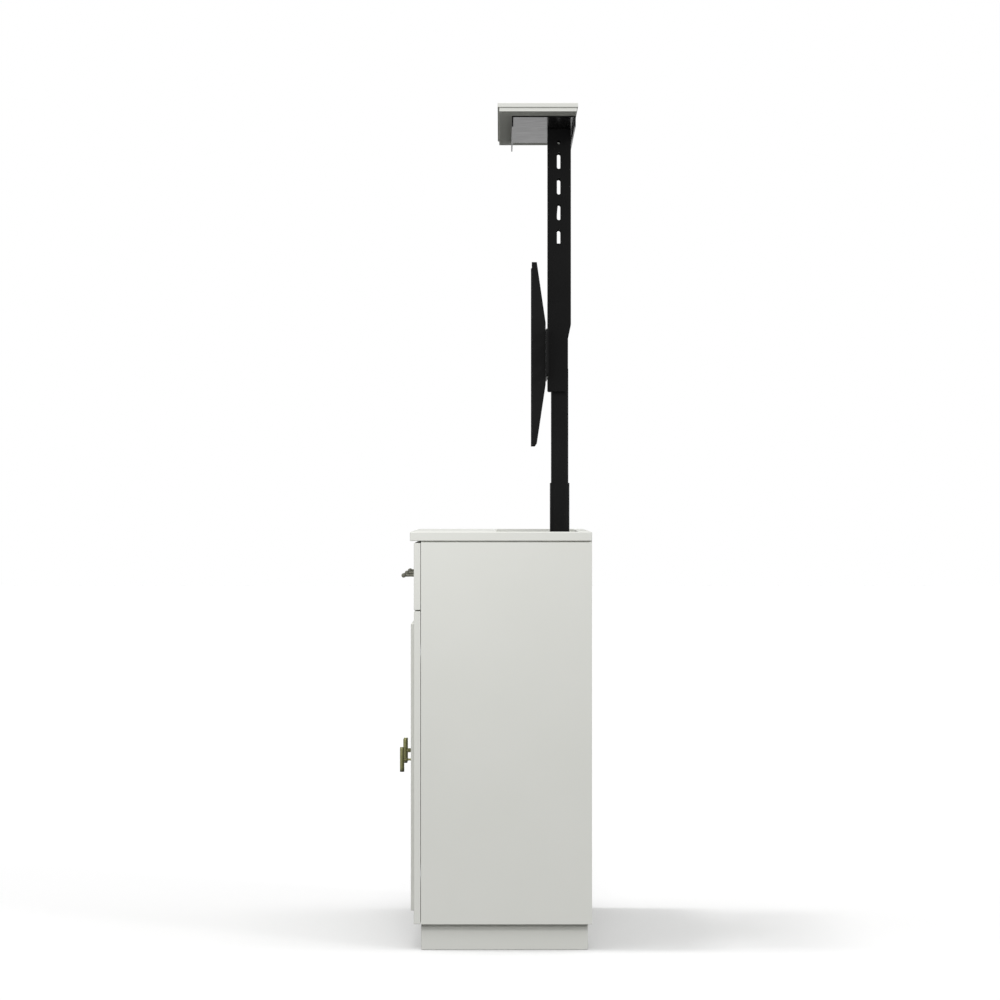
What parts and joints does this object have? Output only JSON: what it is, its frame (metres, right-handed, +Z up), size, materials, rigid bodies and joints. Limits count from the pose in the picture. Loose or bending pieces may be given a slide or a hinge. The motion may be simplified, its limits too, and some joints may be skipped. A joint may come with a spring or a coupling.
{
  "type": "tv lift cabinet",
  "caption": "Painted sideboard with doors and drawers; a telescopic column raises a television bracket and the cabinet's lid out of its top.",
  "frame": {"origin": "middle of the outer box, front pulls included, on the floor", "axes": "+Z up, -Y towards the doors and drawers, +X towards the single door"},
  "size_m": [1.5, 0.429, 1.865],
  "materials": {
    "painted_board": "off-white satin paint on board",
    "drawer_board": "pale matt foil on board",
    "black_steel": "black satin powder coat",
    "aged_brass": "antique brass, satin, olive tone",
    "zinc_steel": "zinc-plated, satin",
    "black_plastic": "fine matt texture"
  },
  "bodies": {
    "root": {"cabinet_top": "painted_board", "side_panel_left": "painted_board", "side_panel_right": "painted_board", "back_panel": "painted_board", "bottom_panel": "painted_board", "bay_partition": "painted_board", "drawer_deck": "painted_board", "drawer_divider_left": "painted_board", "drawer_divider_right": "painted_board", "lower_divider": "painted_board", "shelf_wide": "painted_board", "shelf_narrow": "painted_board", "plinth_frame": "painted_board", "hinge_arm_left_lower": "zinc_steel", "hinge_arm_left_upper": "zinc_steel", "hinge_arm_middle_lower": "zinc_steel", "hinge_arm_middle_upper": "zinc_steel", "hinge_arm_right_lower": "zinc_steel", "hinge_arm_right_upper": "zinc_steel", "lift_base_plate": "black_steel", "drive_gearbox": "black_plastic", "drive_motor": "black_steel", "lead_screw": "zinc_steel", "control_box": "black_plastic", "base_tube": "black_steel"},
    "lift_stage_1": {"stage_1_tube": "black_steel", "drive_nut": "black_plastic"},
    "lift_stage_2": {"stage_2_tube": "black_steel"},
    "lift_carriage": {"stage_3_tube": "black_steel", "column_head": "black_steel", "carriage_bracket": "black_steel", "lid_post": "black_steel", "mount_plate": "black_steel", "lock_bolt": "zinc_steel", "vesa_arm_left": "black_steel", "vesa_arm_right": "black_steel", "lid_tray": "black_steel", "lid_lower_board": "painted_board", "lid_upper_board": "painted_board"},
    "left_door": {"door_left": "painted_board", "door_pull_left": "aged_brass", "hinge_cup_left_lower": "zinc_steel", "hinge_cup_left_upper": "zinc_steel"},
    "middle_door": {"door_middle": "painted_board", "door_pull_middle": "aged_brass", "hinge_cup_middle_lower": "zinc_steel", "hinge_cup_middle_upper": "zinc_steel"},
    "right_door": {"door_right": "painted_board", "door_pull_right": "aged_brass", "hinge_cup_right_lower": "zinc_steel", "hinge_cup_right_upper": "zinc_steel"},
    "left_drawer": {"drawer_front_left": "painted_board", "drawer_box_left": "drawer_board", "drawer_pull_left": "aged_brass"},
    "middle_drawer": {"drawer_front_middle": "painted_board", "drawer_box_middle": "drawer_board", "drawer_pull_middle": "aged_brass"},
    "right_drawer": {"drawer_front_right": "painted_board", "drawer_box_right": "drawer_board", "drawer_pull_right": "aged_brass"}
  },
  "joints": [
    {"name": "stage_1_slide", "type": "slide", "parent": "root", "child": "lift_stage_1", "axis": [0, 0, 1], "range_m": [-0.43, 0]},
    {"name": "stage_2_slide", "type": "slide", "parent": "lift_stage_1", "child": "lift_stage_2", "axis": [0, 0, 1], "range_m": [-0.258, 0]},
    {"name": "carriage_slide", "type": "slide", "parent": "lift_stage_2", "child": "lift_carriage", "axis": [0, 0, 1], "range_m": [-0.258, 0]},
    {"name": "left_door_hinge", "type": "hinge", "parent": "root", "child": "left_door", "pos_m": [-0.7465, -0.174, 0.4011], "axis": [0, 0, -1], "range_deg": [0, 95]},
    {"name": "middle_door_hinge", "type": "hinge", "parent": "root", "child": "middle_door", "pos_m": [0.24583, -0.174, 0.4011], "axis": [0, 0, 1], "range_deg": [0, 95]},
    {"name": "right_door_hinge", "type": "hinge", "parent": "root", "child": "right_door", "pos_m": [0.7465, -0.174, 0.4011], "axis": [0, 0, 1], "range_deg": [0, 95]},
    {"name": "left_drawer_slide", "type": "slide", "parent": "root", "child": "left_drawer", "axis": [0, -1, 0], "range_m": [0, 0.1]},
    {"name": "middle_drawer_slide", "type": "slide", "parent": "root", "child": "middle_drawer", "axis": [0, -1, 0], "range_m": [0, 0.1]},
    {"name": "right_drawer_slide", "type": "slide", "parent": "root", "child": "right_drawer", "axis": [0, -1, 0], "range_m": [0, 0.1]}
  ],
  "couplings": [
    {"joint": "stage_2_slide", "follows": "stage_1_slide", "ratio": 0.6},
    {"joint": "carriage_slide", "follows": "stage_1_slide", "ratio": 0.6}
  ]
}
